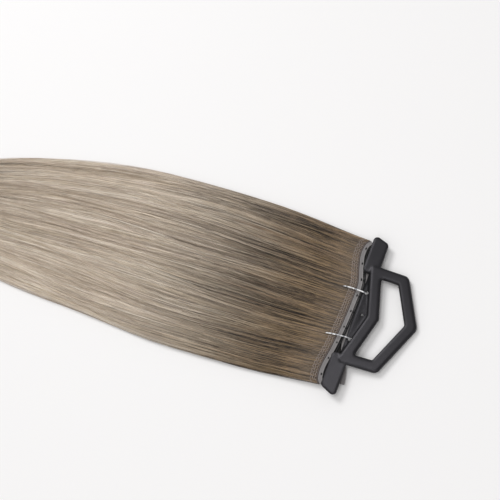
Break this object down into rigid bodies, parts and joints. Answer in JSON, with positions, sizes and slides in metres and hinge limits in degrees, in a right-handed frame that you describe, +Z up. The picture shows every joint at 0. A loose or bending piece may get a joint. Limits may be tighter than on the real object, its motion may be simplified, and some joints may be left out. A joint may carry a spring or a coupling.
{
  "type": "hair weft on a hanger",
  "caption": "flat-laid hair weft, dark at the root and ash blonde in the lengths, its sewn strip tied to a black plastic hanger with a kinked hanging loop",
  "frame": {"origin": "on the floor under the middle of the whole", "axes": "+X along the hanger's bar, +Y from the hanger's loop towards the hair tips, +Z up"},
  "size_m": [0.1564, 0.5566, 0.009],
  "materials": {
    "hanger": "satin black",
    "front_track": "coated sewn strip",
    "back_track": "coated sewn strip",
    "tie_upper": "clear nylon",
    "tie_lower": "clear nylon",
    "hair": "brushed straight hair"
  },
  "bodies": {
    "root": {"hanger": "hanger", "front_track": "front_track", "back_track": "back_track", "tie_upper": "tie_upper", "tie_lower": "tie_lower", "hair": "hair"}
  },
  "joints": []
}
